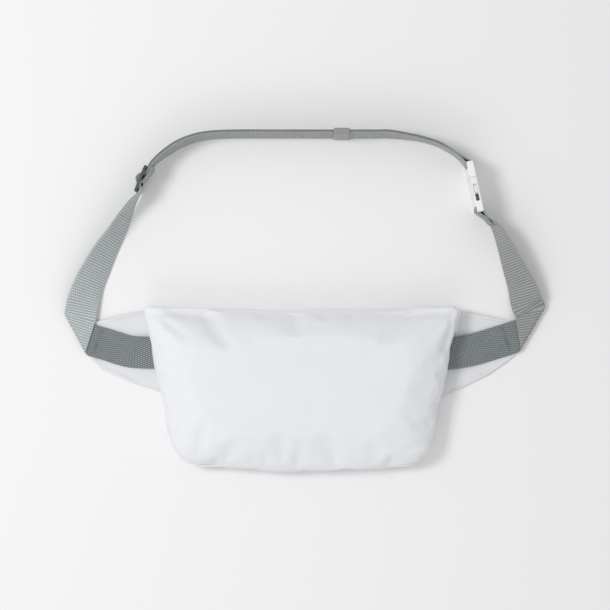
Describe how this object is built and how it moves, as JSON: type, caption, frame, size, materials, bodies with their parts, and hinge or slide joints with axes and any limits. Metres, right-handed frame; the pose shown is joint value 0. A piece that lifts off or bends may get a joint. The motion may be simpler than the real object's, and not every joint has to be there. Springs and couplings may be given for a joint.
{
  "type": "waist throw rope bag",
  "caption": "Slim waist-worn throw rope bag: white fabric pouch with zipped top edge, side wings and a grey webbing belt closed by a white side-release buckle.",
  "frame": {"origin": "middle of the bag's flat back, on the surface that it lies on", "axes": "+Z out of the bag's front, +Y from the bag towards the middle of the belt, +X towards the buckle side"},
  "size_m": [0.4519, 0.3172, 0.042],
  "materials": {
    "white_ripstop": "satin",
    "binding": "matte",
    "foam": "matte",
    "grey_webbing": "matte",
    "keeper_elastic": "matte",
    "thread": "matte",
    "zip_coil": "satin",
    "zip_metal": "satin",
    "black_plastic": "satin",
    "white_plastic": "satin"
  },
  "bodies": {
    "bag": {"back_panel": "white_ripstop", "front_panel": "white_ripstop", "side_gusset": "white_ripstop", "back_seam_binding": "binding", "front_seam_binding": "binding", "foam_float_panel": "foam", "rope_anchor_loop": "grey_webbing", "zip_tape_lower": "white_ripstop", "zip_tape_upper": "white_ripstop", "zip_coil_lower": "zip_coil", "zip_coil_upper": "zip_coil", "zip_stops": "zip_metal", "left_wing": "white_ripstop", "right_wing": "white_ripstop", "left_wing_seam_tape": "white_ripstop", "right_wing_seam_tape": "white_ripstop", "left_wing_webbing": "grey_webbing", "right_wing_webbing": "grey_webbing", "wing_bar_tacks": "thread", "left_belt_strap": "grey_webbing", "right_belt_strap": "grey_webbing", "long_strap_outer": "grey_webbing", "long_strap_inner": "grey_webbing", "buckle_female": "white_plastic"},
    "slider": {"zip_slider": "zip_metal"},
    "pull": {"zip_pull": "zip_metal"},
    "keeper_band": {"keeper": "keeper_elastic"},
    "glide": {"tri_glide": "black_plastic", "strap_through_glide": "grey_webbing", "strap_end_loop": "grey_webbing"},
    "male_half": {"buckle_male": "white_plastic", "strap_buckle_loop": "grey_webbing"},
    "upper_arm": {"buckle_arm_upper": "white_plastic"},
    "lower_arm": {"buckle_arm_lower": "white_plastic"}
  },
  "joints": [
    {"name": "zip_slide", "type": "slide", "parent": "bag", "child": "slider", "axis": [-1, 0, 0], "range_m": [0, 0.25]},
    {"name": "pull_swing", "type": "hinge", "parent": "slider", "child": "pull", "pos_m": [0.126, 0.0728, 0.012], "axis": [0, 0, -1], "range_deg": [0, 165]},
    {"name": "keeper_slide", "type": "slide", "parent": "bag", "child": "keeper_band", "axis": [1, 0, 0], "range_m": [-0.088, 0.03]},
    {"name": "belt_adjust", "type": "slide", "parent": "bag", "child": "glide", "axis": [0.3746, 0.9272, 0], "range_m": [-0.01, 0], "deforming": ["strap_through_glide", "strap_end_loop"]},
    {"name": "buckle_release", "type": "slide", "parent": "bag", "child": "male_half", "axis": [-0.2164, 0.9763, 0], "range_m": [0, 0.02], "deforming": ["strap_buckle_loop", "buckle_arm_upper", "buckle_arm_lower"]},
    {"name": "squeeze_upper", "type": "hinge", "parent": "male_half", "child": "upper_arm", "pos_m": [0.15559, 0.19979, 0.029], "axis": [0.9763, 0.2164, 0], "range_deg": [0, 10], "stiffness_Nm_per_rad": 0.05},
    {"name": "squeeze_lower", "type": "hinge", "parent": "male_half", "child": "lower_arm", "pos_m": [0.15559, 0.19979, 0.008], "axis": [-0.9763, -0.2164, 0], "range_deg": [0, 10], "stiffness_Nm_per_rad": 0.05}
  ]
}
